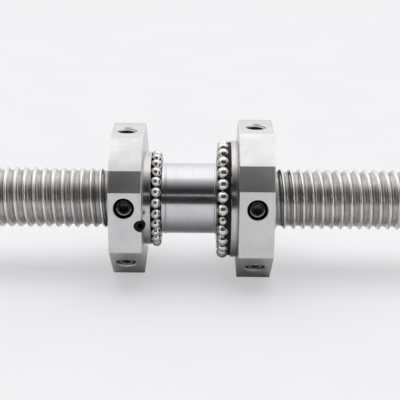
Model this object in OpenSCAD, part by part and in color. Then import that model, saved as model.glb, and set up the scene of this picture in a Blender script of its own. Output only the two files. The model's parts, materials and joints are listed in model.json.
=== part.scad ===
// Ball screw assembly with a driven ball nut between two octagonal bearing housings.
// The screw axis is X, with the origin on it at the middle of the nut's plain sleeve. +Z is up.

/* [Screw] */
// Nominal diameter over the thread crests
screw_d = 16; // [15.8:0.1:16.2]
// Advance of the thread for one turn
lead = 2.5; // [2.5:0.1:2.8]
// Length of the threaded part
thread_length = 125; // [100:5:150]
// Length of each plain journal
journal_length = 17.5; // [10:0.5:30]
// Diameter of the left journal
left_journal_d = 12; // [8:0.5:13]
// Diameter of the right journal
right_journal_d = 10; // [8:0.5:13]
// Facets for each turn of the thread
thread_facets = 18; // [12:1:20]

/* [Ball track] */
// Diameter of the balls that run in the thread
track_ball_d = 1.588; // [1.5:0.001:1.588]
// Radius of the circle that the track ball centres lie on
track_circle_r = 7.95; // [7.94:0.01:8]
// Number of balls in one circuit
track_ball_count = 31; // [24:1:31]
// Half of the angle over which the balls cross back over the crest
crossing_half_angle = 28; // [28:1:32]

/* [Nut] */
// Radius of the plain sleeve between the ball rows
sleeve_r = 9.33; // [9.2:0.01:9.4]
// Radius of the bore that clears the screw
nut_bore_r = 8.15; // [8.1:0.01:8.3]
// Half the length of the plain sleeve with its two lips
sleeve_half_length = 6.7; // [6:0.1:6.7]

/* [Support bearings] */
// Diameter of the left row's balls
left_ball_d = 2.75; // [2.7:0.01:2.76]
// Diameter of the right row's balls
right_ball_d = 3.175; // [3.1:0.005:3.175]
// Distance of the left ball row from the middle of the sleeve
left_row_x = 8.9; // [8.85:0.01:8.95]
// Distance of the right ball row from the middle of the sleeve
right_row_x = 8.5; // [8.47:0.01:8.55]
// Pitch circle radius of the left ball row
left_row_r = 11.5; // [11.48:0.01:11.55]
// Pitch circle radius of the right ball row
right_row_r = 14.2; // [14.15:0.01:14.25]
// Number of balls in the full left row
left_ball_count = 26; // [18:1:26]
// Number of balls in the right row, without the spacer ball
right_ball_count = 27; // [20:1:27]
// Diameter of the small spacer ball in the right row
spacer_ball_d = 2.381; // [2:0.001:2.4]
// Angle between the right row's balls where the spacer ball sits
spacer_gap = 22.6; // [22:0.1:23]

/* [Housings] */
// Radius over the corners of the left octagonal housing
left_housing_r = 20; // [19.5:0.1:20.5]
// Radius over the corners of the right octagonal housing
right_housing_r = 21; // [20.5:0.1:21.5]
// Half of the angle that the left housing's front and back flats span
left_front_angle = 23.7; // [22.5:0.1:25]
// Half of the angle that the right housing's front and back flats span
right_front_angle = 25; // [22.5:0.1:25.5]
// Chamfer around both faces of each housing
housing_chamfer = 0.35; // [0.2:0.05:0.6]
// Radius of the threaded holes for the set screws
set_screw_hole_r = 2.5; // [2.4:0.05:2.5]
// Width across flats of the set screws' hexagon sockets
hex_socket_w = 2.5; // [2:0.1:2.6]

/* [Hidden] */
$fn = 96;

// Small amounts: the air between two fitted pieces of one body, and an overshoot for clean cuts
fit_gap = 0.02;
cut = 1;

// Thread form: a round groove drawn as flats that touch its circle from outside
groove_r = 0.83;
flank_angle = 65;
crest_r = screw_d / 2;
shoulder_drop = 0.12;
root_r = track_circle_r - groove_r;
root_half_w = groove_r * tan(flank_angle / 2);
shoulder_r = crest_r - shoulder_drop;
shoulder_half_w = groove_r * sin(flank_angle)
    + (shoulder_r - track_circle_r + groove_r * cos(flank_angle)) / tan(flank_angle);
// Points of one pitch of the thread: distance from the groove's middle, and radius
thread_profile = [
    [-shoulder_half_w, shoulder_r], [-root_half_w, root_r], [root_half_w, root_r],
    [shoulder_half_w, shoulder_r], [lead / 2, crest_r]
];
groove_start_x = -0.5;

// Ball circuits: which thread turn each one lies on, and the angle where its balls cross over
left_circuit = [-6, 270];
right_circuit = [4, 270];
track_clearance = 0.03;
crossing_lift = crest_r + track_ball_d / 2 + track_clearance - track_circle_r;
tube_r = 0.93;
tube_sides = 8;
crossing_steps = 12;
track_steps = 27;

// Air between a support ball and its raceway
raceway_gap = 0.05;

// Left bearing and housing stations along the screw axis
left_hub_r = 10;
left_hub_end = -17.9;
left_shoulder_r = 10.4;
left_shoulder_x = -7.95;
left_neck_r = 9.3;
left_neck_x = -7.45;
left_cup_face_x = -10.15;
left_cup_r = 12.3;
left_cup_bore_r = 10.3;
left_cup_end = -18.2;
left_recess_x = -16.1;
left_recess_r = 11;
left_housing_x = [-20.45, -12];
// Corners of the left housing: edge of the front flat, ridge of the upper slope, edge of the top flat
left_corners = [left_front_angle, 39.8, 69.3];

// Right bearing and housing stations along the screw axis
right_hub_r = 12.3;
right_hub_end = 18.5;
right_shoulder_r = 13.2;
right_shoulder_x = 6.95;
right_race_face_x = 9.95;
right_race_outer_r = 14.7;
right_cup_face_x = 10.5;
right_cup_r = 15.5;
right_cup_stem_r = 14.6;
right_cup_bore_r = 12.6;
right_cup_end = 19.2;
right_recess_x = 16.8;
right_recess_r = 13.6;
right_housing_x = [12.35, 21.35];
// Corners of the right housing, in the same order as the left one's
right_corners = [right_front_angle, 43, 72];

// Set screws: stations, the angle of the front one, where they start, and where the top, front and
// sloping ones end; the front holes have a spot face, because they lean on their flat
left_screw_x = -16.45;
right_screw_x = 16.95;
front_screw_angle = 12;
spot_face_r = 2.72;
spot_face_depth = 0.3;
countersink_depth = 0.35;
left_screw_start = 13.2;
left_screw_ends = [16.8, 17.2, 18.1];
right_screw_start = 15.1;
right_screw_ends = [18.1, 18.1, 18.95];

// Lock screw in the inner edge of the left housing, tilted towards the sleeve
lock_screw_x = -12.3;
lock_screw_reach = 18;
lock_screw_angle = -2.5;
lock_screw_tilt = 32;
lock_screw_r = 1.6;
lock_screw_length = 3;

// Wipers and the circlips that hold them and the nut
wiper_bore_r = 8.1;
left_wiper_x = [-19.4, -18.22];
right_wiper_x = [19.22, 20.4];
left_circlip_x = [-20.1, -19.5];
right_circlip_x = [20.45, 21.05];
circlip_groove_depth = 0.55;
circlip_width = 1.4;
circlip_gap_angle = 34;
lug_hole_r = 0.5;
left_snap_x = [-16.95, -16.25];
right_snap_x = [16.95, 17.85];
left_snap_groove_r = 9.4;
right_snap_groove_r = 11.6;

// Place along the radius that leaves the axis at an angle: 0 is the front (-Y), 90 the top (+Z)
module at_angle(angle) { rotate([90 - angle, 0, 0]) children(); }

// Turn an outline of [radius, x] points about the screw axis
module turned(outline) { rotate([0, 90, 0]) rotate_extrude() polygon(outline); }

// Ring between two radii and two stations
module ring(inner_r, outer_r, x) {
    turned([[inner_r, x[0]], [outer_r, x[0]], [outer_r, x[1]], [inner_r, x[1]]]);
}

// Round groove for a row of balls
module ball_groove(row_r, x, ball_d) {
    rotate([0, 90, 0]) rotate_extrude() translate([row_r, x]) circle(d = ball_d + 2 * raceway_gap);
}

module left_ball_groove() { ball_groove(left_row_r, -left_row_x, left_ball_d); }
module right_ball_groove() { ball_groove(right_row_r, right_row_x, right_ball_d); }

// A point at a station, a radius and an angle about +X that starts at +Y
function on_turn(x, r, turn) = [x, r * cos(turn), r * sin(turn)];

// ---- Screw ----

// Thread lines are numbered along the screw: five lines make one pitch
LINES = len(thread_profile);
function line_r(k) = thread_profile[(k % LINES + LINES) % LINES][1];
function line_x(k, j) = groove_start_x + lead * j / thread_facets
    + thread_profile[(k % LINES + LINES) % LINES][0] + lead * floor(k / LINES);

// Radius of the thread surface at a station and facet
function thread_r(x, j) =
    let (t = x - groove_start_x - lead * j / thread_facets + shoulder_half_w,
         table = concat([for (p = thread_profile) [p[0] + shoulder_half_w, p[1]]], [[lead, shoulder_r]]))
    lookup(t - lead * floor(t / lead), table);

// First and last thread line inside the threaded length at a facet
line_margin = 0.06;
thread_end = thread_length / 2;
function first_line(j, k) = line_x(k, j) > -thread_end + line_margin ? k : first_line(j, k + 1);
function last_line(j, k) = line_x(k, j) < thread_end - line_margin ? k : last_line(j, k - 1);
SEARCH_START = LINES * (ceil(thread_end / lead) + 2);

// Closed surface of the thread: thread_facets meridians, each from one end cap to the other
module thread() {
    lows = [for (j = [0:thread_facets - 1]) first_line(j, -SEARCH_START)];
    highs = [for (j = [0:thread_facets - 1]) last_line(j, SEARCH_START)];
    function low(j) = j < thread_facets ? lows[j] : lows[0] - LINES;
    function high(j) = j < thread_facets ? highs[j] : highs[0] - LINES;
    columns = [for (j = [0:thread_facets - 1]) let (turn = 360 * j / thread_facets) concat(
        [on_turn(-thread_end, thread_r(-thread_end, j), turn)],
        [for (k = [lows[j]:highs[j]]) on_turn(line_x(k, j), line_r(k), turn)],
        [on_turn(thread_end, thread_r(thread_end, j), turn)])];
    starts = [for (j = 0, n = 0; j <= thread_facets; n = n + len(columns[j % thread_facets]), j = j + 1) n];
    function at(j, k) = starts[j % thread_facets] + 1 + k - low(j);
    function left_end(j) = starts[j % thread_facets];
    function right_end(j) = starts[j % thread_facets + 1] - 1;
    left_centre = starts[thread_facets];
    right_centre = left_centre + 1;
    faces = [for (j = [0:thread_facets - 1]) let (
            i = j + 1, low_k = max(low(j), low(i)), high_k = min(high(j), high(i)))
        each concat(
            [for (k = [low_k:high_k - 1]) each [
                [at(j, k), at(j, k + 1), at(i, k)], [at(i, k), at(j, k + 1), at(i, k + 1)]]],
            low(j) < low_k
                ? concat([[left_end(j), at(j, low(j)), left_end(i)],
                        [left_end(i), at(j, low_k), at(i, low_k)]],
                    [for (k = [low(j):low_k - 1]) [at(j, k), at(j, k + 1), left_end(i)]])
                : concat([[left_end(j), at(i, low(i)), left_end(i)],
                        [left_end(j), at(j, low_k), at(i, low_k)]],
                    [for (k = [low(i):1:low_k - 1]) [at(i, k), left_end(j), at(i, k + 1)]]),
            high(j) > high_k
                ? concat([[at(j, high(j)), right_end(j), right_end(i)],
                        [at(j, high_k), right_end(i), at(i, high_k)]],
                    [for (k = [high_k:high(j) - 1]) [at(j, k), at(j, k + 1), right_end(i)]])
                : concat([[right_end(j), right_end(i), at(i, high(i))],
                        [at(j, high_k), right_end(j), at(i, high_k)]],
                    [for (k = [high_k:1:high(i) - 1]) [at(i, k), right_end(j), at(i, k + 1)]]),
            [[left_centre, left_end(j), left_end(i)], [right_end(j), right_centre, right_end(i)]])];
    polyhedron(
        points = concat([for (c = columns) each c], [[-thread_end, 0, 0], [thread_end, 0, 0]]),
        faces = faces);
}

// Plain journal with a chamfered end and a centre hole, drawn towards +X
module journal(d, length) {
    chamfer = 0.8;
    centre_hole_r = 1.6;
    centre_hole_tip_r = 0.4;
    centre_hole_depth = 2;
    difference() {
        rotate([0, 90, 0]) union() {
            cylinder(r = d / 2, h = length - chamfer);
            translate([0, 0, length - chamfer]) cylinder(r1 = d / 2, r2 = d / 2 - chamfer, h = chamfer);
        }
        translate([length, 0, 0]) rotate([0, -90, 0])
            cylinder(r1 = centre_hole_r, r2 = centre_hole_tip_r, h = centre_hole_depth);
    }
}

module screw_shaft() {
    color("lightgray") {
        thread();
        translate([thread_end, 0, 0]) journal(right_journal_d, journal_length);
        translate([-thread_end, 0, 0]) mirror([1, 0, 0]) journal(left_journal_d, journal_length);
    }
}

// ---- Ball circuits ----

// Half the distance that a circuit's balls move back along the screw at the crossing
crossing_shift = lead / 2 * (1 - crossing_half_angle / 180);
function circuit_x(c) = groove_start_x + lead * (c[1] + 180) / 360 + lead * c[0];

// Centre of a circuit's channel at an angle: one turn of the thread, then a lift over the crest
function circuit_point(c, turn) =
    let (d = (turn - c[1] + crossing_half_angle + 360) % 360 - crossing_half_angle,
         s = d / crossing_half_angle)
    d < crossing_half_angle
        ? on_turn(circuit_x(c) - crossing_shift * sin(90 * sin(90 * s)),
            track_circle_r + crossing_lift * cos(90 * s) ^ 2, turn)
        : on_turn(circuit_x(c) + lead * (d - 180) / 360, track_circle_r, turn);

// One ring of points square to the channel
function channel_ring(c, turn) =
    let (p = circuit_point(c, turn), t = circuit_point(c, turn + 1) - circuit_point(c, turn - 1),
         along = t / norm(t), out = [0, cos(turn), sin(turn)],
         up = out - (out * along) * along, n = up / norm(up), b = cross(along, n))
    [for (i = [0:tube_sides - 1]) let (a = 360 * (i + 0.5) / tube_sides)
        p + tube_r * (cos(a) * n + sin(a) * b)];

// Closed channel that a circuit's balls run in
module ball_channel(c) {
    turns = concat(
        [for (i = [0:crossing_steps - 1]) c[1] - crossing_half_angle * (1 - 2 * i / crossing_steps)],
        [for (i = [0:track_steps - 1]) c[1] + crossing_half_angle
            + (360 - 2 * crossing_half_angle) * i / track_steps]);
    count = len(turns) * tube_sides;
    polyhedron(
        points = [for (turn = turns) each channel_ring(c, turn)],
        faces = [for (i = [0:len(turns) - 1]) for (k = [0:tube_sides - 1])
            let (a = i * tube_sides + k, b = i * tube_sides + (k + 1) % tube_sides,
                 e = (a + tube_sides) % count, f = (b + tube_sides) % count)
            each [[a, e, b], [b, e, f]]]);
}

module track_balls(c) {
    color("silver") for (i = [0:track_ball_count - 1])
        translate(circuit_point(c, c[1] + 360 * (i + 0.5) / track_ball_count)) sphere(d = track_ball_d);
}

slot_half_length = 5;
slot_half_width = 2.1;

// Slot through the nut's wall for a deflector, made smaller all round by a gap
module deflector_slot(c, outer_r, gap) {
    half_length = slot_half_length - gap;
    half_width = slot_half_width - gap;
    translate([circuit_x(c), 0, 0]) rotate([c[1] - 90, 0, 0]) {
        translate([-half_width, half_width - half_length, 0])
            cube([2 * half_width, 2 * (half_length - half_width), outer_r]);
        for (side = [-1, 1]) translate([0, side * (half_length - half_width), 0])
            cylinder(r = half_width, h = outer_r);
    }
}

// Insert that leads the balls of one circuit over the crest of the thread
module deflector(c, hub_r) {
    color("darkgoldenrod") difference() {
        intersection() {
            deflector_slot(c, hub_r + cut, fit_gap);
            ring(nut_bore_r, hub_r - fit_gap,
                [circuit_x(c) - slot_half_length, circuit_x(c) + slot_half_length]);
        }
        ball_channel(c);
    }
}

module left_track_balls() { track_balls(left_circuit); }
module right_track_balls() { track_balls(right_circuit); }
module left_deflector() { deflector(left_circuit, left_hub_r); }
module right_deflector() { deflector(right_circuit, right_hub_r); }

// ---- Nut ----

lip_r = 9.5;
lip_width = 0.4;
lip_slope = 0.1;
hub_chamfer = 0.3;

module nut_body() {
    outline = [
        [nut_bore_r, left_hub_end], [left_hub_r - hub_chamfer, left_hub_end],
        [left_hub_r, left_hub_end + hub_chamfer], [left_hub_r, -left_row_x],
        [left_shoulder_r, -left_row_x], [left_shoulder_r, left_shoulder_x],
        [left_neck_r, left_neck_x], [left_neck_r, -sleeve_half_length],
        [lip_r, -sleeve_half_length], [lip_r, lip_width - sleeve_half_length],
        [sleeve_r, lip_width + lip_slope - sleeve_half_length],
        [sleeve_r, sleeve_half_length - lip_width - lip_slope],
        [lip_r, sleeve_half_length - lip_width], [lip_r, sleeve_half_length],
        [right_shoulder_r, right_shoulder_x], [right_shoulder_r, right_row_x],
        [right_hub_r, right_row_x], [right_hub_r, right_hub_end - hub_chamfer],
        [right_hub_r - hub_chamfer, right_hub_end], [nut_bore_r, right_hub_end]
    ];
    color("gray") difference() {
        turned(outline);
        left_ball_groove();
        right_ball_groove();
        ring(left_snap_groove_r, left_hub_r + cut, left_snap_x);
        ring(right_snap_groove_r, right_hub_r + cut, right_snap_x);
        for (c = [left_circuit, right_circuit]) {
            ball_channel(c);
            deflector_slot(c, right_hub_r + cut, 0);
        }
    }
}

// Open spring ring that sits in an outside groove of the nut
module snap_ring(groove_r, outer_r, x) {
    end_gap = 0.1;
    opening = 6;
    color("dimgray") difference() {
        ring(groove_r + fit_gap, outer_r, [x[0] + end_gap, x[1] - end_gap]);
        translate([x[0], -opening / 2, -outer_r - cut]) cube([x[1] - x[0], opening, outer_r]);
    }
}

snap_ring_gap = 0.2;

module left_snap_ring() { snap_ring(left_snap_groove_r, left_recess_r - snap_ring_gap, left_snap_x); }
module right_snap_ring() { snap_ring(right_snap_groove_r, right_recess_r - snap_ring_gap, right_snap_x); }

// ---- Support bearings ----

module ball_at(angle, x, row_r, d) {
    translate([x, 0, 0]) at_angle(angle) translate([0, 0, row_r]) sphere(d = d);
}

spacer_angle = -2.5;
right_step = (360 - spacer_gap) / (right_ball_count - 1);
function right_ball_angle(i) = spacer_angle + spacer_gap / 2 + i * right_step;

module left_support_balls() {
    color("silver") for (i = [0:left_ball_count - 1])
        ball_at(360 * i / left_ball_count, -left_row_x, left_row_r, left_ball_d);
}

module right_support_balls() {
    color("silver") for (i = [0:right_ball_count - 1])
        ball_at(right_ball_angle(i), right_row_x, right_row_r, right_ball_d);
}

module right_spacer_ball() {
    color("silver") ball_at(spacer_angle, right_row_x, right_row_r, spacer_ball_d);
}

// Crown cage: a band behind the right row, over the edge of the raceway, with fingers between the balls
module right_ball_cage() {
    pocket_gap = 0.06;
    finger_x = [8.9, 9.9];
    finger_r = [13.3, 14.6];
    band_x = [9.3, 10.42];
    band_r = [14.76, 15.1];
    color("black") difference() {
        turned([[finger_r[0], finger_x[0]], [finger_r[1], finger_x[0]], [band_r[1], band_x[0]],
            [band_r[1], band_x[1]], [band_r[0], band_x[1]], [band_r[0], finger_x[1]],
            [finger_r[0], finger_x[1]]]);
        for (i = [0:right_ball_count - 1])
            ball_at(right_ball_angle(i), right_row_x, right_row_r, right_ball_d + 2 * pocket_gap);
        ball_at(spacer_angle, right_row_x, right_row_r, spacer_ball_d + 2 * pocket_gap);
    }
}

edge_break = 0.25;

module left_race_cup() {
    outline = [
        [left_cup_bore_r, left_cup_face_x], [left_cup_r, left_cup_face_x], [left_cup_r, left_cup_end],
        [left_recess_r, left_cup_end], [left_recess_r, left_recess_x], [left_cup_bore_r, left_recess_x]
    ];
    color("lightgray") difference() {
        turned(outline);
        left_ball_groove();
    }
}

module right_race_cup() {
    outline = [
        [right_cup_bore_r, right_race_face_x], [right_race_outer_r, right_race_face_x],
        [right_race_outer_r, right_cup_face_x], [right_cup_r - edge_break, right_cup_face_x],
        [right_cup_r, right_cup_face_x + edge_break], [right_cup_r, right_housing_x[0] - fit_gap],
        [right_cup_stem_r, right_housing_x[0] - fit_gap], [right_cup_stem_r, right_cup_end],
        [right_recess_r, right_cup_end], [right_recess_r, right_recess_x], [right_cup_bore_r, right_recess_x]
    ];
    color("lightgray") difference() {
        turned(outline);
        right_ball_groove();
    }
}

// ---- Housings ----

// Outline of an octagon with one more corner at the ridge, drawn the same on both sides of the axis
module octagon(r, corners, x) {
    half = concat(corners, [180 - corners[2], 180 - corners[0]]);
    translate([x[0], 0, 0]) rotate([90, 0, 90]) linear_extrude(x[1] - x[0])
        polygon([for (a = concat(half, [for (a = half) a + 180])) [-r * cos(a), r * sin(a)]]);
}

// Angles of a housing's six set screws and the distance of the flat that each one stands in
function screw_angles(corners) = let (slope = -(corners[0] + corners[2]) / 2)
    [90, front_screw_angle, slope, 270, front_screw_angle + 180, slope + 180];
function flat_distances(r, corners) = let (
    top = r * sin(corners[2]), front = r * cos(corners[0]), slope = r * cos((corners[2] - corners[0]) / 2))
    [top, front, slope, top, front, slope];

module housing(r, corners, x, bore_r, screw_x, circlip_x) {
    face_chamfer = 0.4;
    angles = screw_angles(corners);
    flats = flat_distances(r, corners);
    difference() {
        hull() {
            octagon(r - housing_chamfer, corners, x);
            octagon(r, corners, [x[0] + housing_chamfer, x[1] - housing_chamfer]);
        }
        turned([[0, x[0] - cut], [bore_r + face_chamfer + cut, x[0] - cut], [bore_r, x[0] + face_chamfer],
            [bore_r, x[1] - face_chamfer], [bore_r + face_chamfer + cut, x[1] + cut], [0, x[1] + cut]]);
        ring(bore_r - cut, bore_r + circlip_groove_depth, [circlip_x[0] - fit_gap, circlip_x[1] + fit_gap]);
        for (i = [0:len(angles) - 1]) translate([screw_x, 0, 0]) at_angle(angles[i]) {
            cylinder(r = set_screw_hole_r, h = r + cut);
            if (i % 3 == 1) translate([0, 0, flats[i] - spot_face_depth]) cylinder(r = spot_face_r, h = r);
            else translate([0, 0, flats[i] - countersink_depth])
                cylinder(r1 = set_screw_hole_r, r2 = set_screw_hole_r + 2 * countersink_depth,
                    h = 2 * countersink_depth);
        }
    }
}

// Place at the outer end of the lock screw, with +Z along it
module at_lock_screw() {
    translate([lock_screw_x, 0, 0]) at_angle(lock_screw_angle)
        translate([0, 0, lock_screw_reach]) rotate([0, lock_screw_tilt, 0]) children();
}

module left_housing() {
    color("gainsboro") difference() {
        housing(left_housing_r, left_corners, left_housing_x, left_cup_r + fit_gap,
            left_screw_x, left_circlip_x);
        at_lock_screw() translate([0, 0, -lock_screw_length - fit_gap])
            cylinder(r = lock_screw_r + fit_gap, h = 2 * lock_screw_length);
    }
}

module right_housing() {
    color("gainsboro")
        housing(right_housing_r, right_corners, right_housing_x, right_cup_stem_r + fit_gap,
            right_screw_x, right_circlip_x);
}

// Rubber wiper disc with a shallow groove between its lip and its rim
module wiper(outer_r, x, groove_x) {
    lip_width = 0.9;
    color("black") difference() {
        ring(wiper_bore_r, outer_r, x);
        ring(wiper_bore_r + lip_width, outer_r - 2 * lip_width, groove_x);
    }
}

wiper_groove_depth = 0.35;

module left_wiper() {
    wiper(left_cup_r, left_wiper_x, [left_wiper_x[0] - cut, left_wiper_x[0] + wiper_groove_depth]);
}

module right_wiper() {
    wiper(right_cup_stem_r, right_wiper_x, [right_wiper_x[1] - wiper_groove_depth, right_wiper_x[1] + cut]);
}

// Inside circlip with two eyes at its opening, in a groove of a housing's bore
module wiper_circlip(bore_r, x) {
    outer_r = bore_r + circlip_groove_depth - fit_gap;
    inner_r = outer_r - circlip_width;
    eye_r = 1.1;
    eye_setback = 3;
    eye_angle = circlip_gap_angle / 2 + eye_setback;
    color("dimgray") difference() {
        union() {
            difference() {
                ring(inner_r, outer_r, x);
                translate([x[0] - cut, 0, 0]) rotate([90, 0, 90]) linear_extrude(x[1] - x[0] + 2 * cut)
                    polygon([[0, 0], for (s = [-1, 1])
                        2 * outer_r * [s * sin(circlip_gap_angle / 2), cos(circlip_gap_angle / 2)]]);
            }
            for (s = [-1, 1]) at_angle(90 + s * eye_angle) translate([x[0], 0, inner_r]) rotate([0, 90, 0])
                cylinder(r = eye_r, h = x[1] - x[0]);
        }
        for (s = [-1, 1]) at_angle(90 + s * eye_angle) translate([x[0] - cut, 0, inner_r]) rotate([0, 90, 0])
            cylinder(r = lug_hole_r, h = x[1] - x[0] + 2 * cut);
    }
}

module left_wiper_circlip() { wiper_circlip(left_cup_r + fit_gap, left_circlip_x); }
module right_wiper_circlip() { wiper_circlip(right_cup_stem_r + fit_gap, right_circlip_x); }

// ---- Screws and pads ----

// Headless socket screw with its socket end at z = 0 and its point below
module grub_screw(r, length, socket_w, top_chamfer) {
    point_chamfer = 0.4;
    difference() {
        rotate_extrude() polygon([
            [0, -length], [r - point_chamfer, -length], [r, point_chamfer - length],
            [r, -top_chamfer], [r - top_chamfer, 0], [0, 0]]);
        translate([0, 0, -length / 2]) cylinder(r = socket_w / 2 / cos(30), h = length, $fn = 6);
    }
}

module set_screw(i, angles, x, start, ends) {
    top_chamfer = 0.75;
    end = ends[(i - 1) % 3];
    color("dimgray") translate([x, 0, 0]) at_angle(angles[i - 1]) translate([0, 0, end])
        grub_screw(set_screw_hole_r - fit_gap, end - start, hex_socket_w, top_chamfer);
}

module left_set_screw(i) {
    set_screw(i, screw_angles(left_corners), left_screw_x, left_screw_start, left_screw_ends);
}

module right_set_screw(i) {
    set_screw(i, screw_angles(right_corners), right_screw_x, right_screw_start, right_screw_ends);
}

// Soft pads between the set screws and the race cup, hollowed to the cup's radius
module set_screw_pads(angles, x, cup_r, screw_end) {
    pad_r = 2.2;
    color("goldenrod") for (a = angles) difference() {
        translate([x, 0, 0]) at_angle(a) translate([0, 0, cup_r - cut])
            cylinder(r = pad_r, h = screw_end - fit_gap - cup_r + cut);
        ring(0, cup_r + 2 * fit_gap, [x - 2 * pad_r, x + 2 * pad_r]);
    }
}

module left_set_screw_pads() {
    set_screw_pads(screw_angles(left_corners), left_screw_x, left_cup_r, left_screw_start);
}

module right_set_screw_pads() {
    set_screw_pads(screw_angles(right_corners), right_screw_x, right_cup_stem_r, right_screw_start);
}

module left_lock_screw() {
    lock_socket_w = 1.3;
    lock_chamfer = 0.15;
    color("black") at_lock_screw() grub_screw(lock_screw_r, lock_screw_length, lock_socket_w, lock_chamfer);
}

screw_shaft();
nut_body();
left_deflector();
right_deflector();
left_track_balls();
right_track_balls();
left_snap_ring();
right_snap_ring();
left_support_balls();
right_support_balls();
right_spacer_ball();
right_ball_cage();
left_race_cup();
left_housing();
left_wiper();
left_wiper_circlip();
left_set_screw_pads();
left_set_screw(1);  // left_set_screw_1
left_set_screw(2);  // left_set_screw_2
left_set_screw(3);  // left_set_screw_3
left_set_screw(4);  // left_set_screw_4
left_set_screw(5);  // left_set_screw_5
left_set_screw(6);  // left_set_screw_6
left_lock_screw();
right_race_cup();
right_housing();
right_wiper();
right_wiper_circlip();
right_set_screw_pads();
right_set_screw(1);  // right_set_screw_1
right_set_screw(2);  // right_set_screw_2
right_set_screw(3);  // right_set_screw_3
right_set_screw(4);  // right_set_screw_4
right_set_screw(5);  // right_set_screw_5
right_set_screw(6);  // right_set_screw_6
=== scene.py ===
"""Studio scene of a ball screw assembly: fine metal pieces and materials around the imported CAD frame.

Lengths in the piece functions are millimetres. The screw axis is X; an angle goes around it from the
front (-Y, 0 degrees) over the top (+Z, 90 degrees).
"""

import json
import math

import bmesh
import bpy
import numpy as np
from mathutils import Matrix, Vector


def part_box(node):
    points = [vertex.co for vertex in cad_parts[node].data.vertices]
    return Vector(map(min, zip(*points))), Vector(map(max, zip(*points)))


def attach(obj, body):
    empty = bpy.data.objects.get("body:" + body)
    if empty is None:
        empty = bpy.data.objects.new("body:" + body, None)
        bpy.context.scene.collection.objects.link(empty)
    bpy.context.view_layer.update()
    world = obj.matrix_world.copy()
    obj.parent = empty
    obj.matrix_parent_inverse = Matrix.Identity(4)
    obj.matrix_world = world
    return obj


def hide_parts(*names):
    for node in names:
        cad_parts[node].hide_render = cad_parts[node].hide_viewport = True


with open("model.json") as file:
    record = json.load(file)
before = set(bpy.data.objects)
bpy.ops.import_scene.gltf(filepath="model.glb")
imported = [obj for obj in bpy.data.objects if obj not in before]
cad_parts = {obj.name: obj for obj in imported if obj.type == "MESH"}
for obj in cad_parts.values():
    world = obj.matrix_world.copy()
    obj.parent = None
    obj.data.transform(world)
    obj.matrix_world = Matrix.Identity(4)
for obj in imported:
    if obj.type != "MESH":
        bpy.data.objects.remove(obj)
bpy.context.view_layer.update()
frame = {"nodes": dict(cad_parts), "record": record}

MM = 0.001

# ---------------------------------------------------------------- node trees


class Nodes:
    """Short way to build a node tree: each call adds a node and sets or links its inputs."""

    def __init__(self, tree):
        self.tree = tree
        tree.nodes.clear()

    def feed(self, socket, value):
        if isinstance(value, bpy.types.NodeSocket):
            self.tree.links.new(value, socket)
        else:
            socket.default_value = value

    def add(self, kind, **inputs):
        node = self.tree.nodes.new(kind)
        for key, value in inputs.items():
            self.feed(node.inputs[key.replace("_", " ")], value)
        return node

    def math(self, operation, *values):
        node = self.tree.nodes.new("ShaderNodeMath")
        node.operation = operation
        for socket, value in zip(node.inputs, values):
            self.feed(socket, value)
        return node.outputs[0]

    def ramp(self, value, low, high, to_low=0.0, to_high=1.0):
        """Smooth step of value from low..high to to_low..to_high."""
        node = self.tree.nodes.new("ShaderNodeMapRange")
        node.interpolation_type = "SMOOTHSTEP"
        for name, v in (("Value", value), ("From Min", low), ("From Max", high),
                        ("To Min", to_low), ("To Max", to_high)):
            self.feed(node.inputs[name], v)
        return node.outputs["Result"]

    def band(self, value, low, high, soft):
        """1 between low and high, 0 outside, with soft edges."""
        return self.math("MULTIPLY", self.ramp(value, low - soft, low + soft),
                         self.ramp(value, high - soft, high + soft, 1.0, 0.0))

    def blend(self, factor, a, b):
        """a where factor is 0, b where it is 1."""
        return self.math("ADD", self.math("MULTIPLY", factor, b),
                         self.math("MULTIPLY", self.math("SUBTRACT", 1.0, factor), a))

    def colour(self, factor, a, b):
        """Colour a where factor is 0, colour b where it is 1."""
        node = self.tree.nodes.new("ShaderNodeMix")
        node.data_type = "RGBA"
        self.feed(node.inputs["Factor"], factor)
        for name, value in (("A", a), ("B", b)):
            socket = [s for s in node.inputs if s.name == name and s.type == "RGBA"][0]
            self.feed(socket, value)
        return [s for s in node.outputs if s.type == "RGBA"][0]

    def noise(self, stretch, detail=2.0, roughness=0.5):
        """Noise over the piece's own coordinates, with this many cells a metre along X, Y and Z."""
        place = self.tree.nodes.new("ShaderNodeTexCoord").outputs["Object"]
        scale = self.add("ShaderNodeMapping", Vector=place)
        scale.inputs["Scale"].default_value = stretch
        texture = self.add("ShaderNodeTexNoise", Vector=scale.outputs[0], Scale=1.0, Detail=detail,
                           Roughness=roughness)
        return texture.outputs[0]

    def surface(self, shader):
        output = self.tree.nodes.new("ShaderNodeOutputMaterial")
        self.tree.links.new(shader.outputs[0], output.inputs["Surface"])


def new_material(name):
    """Empty material and its node tree."""
    material = bpy.data.materials.new(name)
    material.use_nodes = True
    return material, Nodes(material.node_tree)


def shade(colour, factor):
    """The colour made lighter or darker, with alpha."""
    return tuple(c * factor for c in colour) + (1.0,)


def even(cells):
    """Grain with this many cells a metre in every direction."""
    return (cells, cells, cells)


# Part of a noise's range over which a material goes from one extreme to the other
NOISE_SPAN = (0.3, 0.7)
# Cosine between a face and its bevelled normal, where the painted edge highlight starts and where it is full
EDGE_SPAN = (0.995, 0.9)


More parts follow.
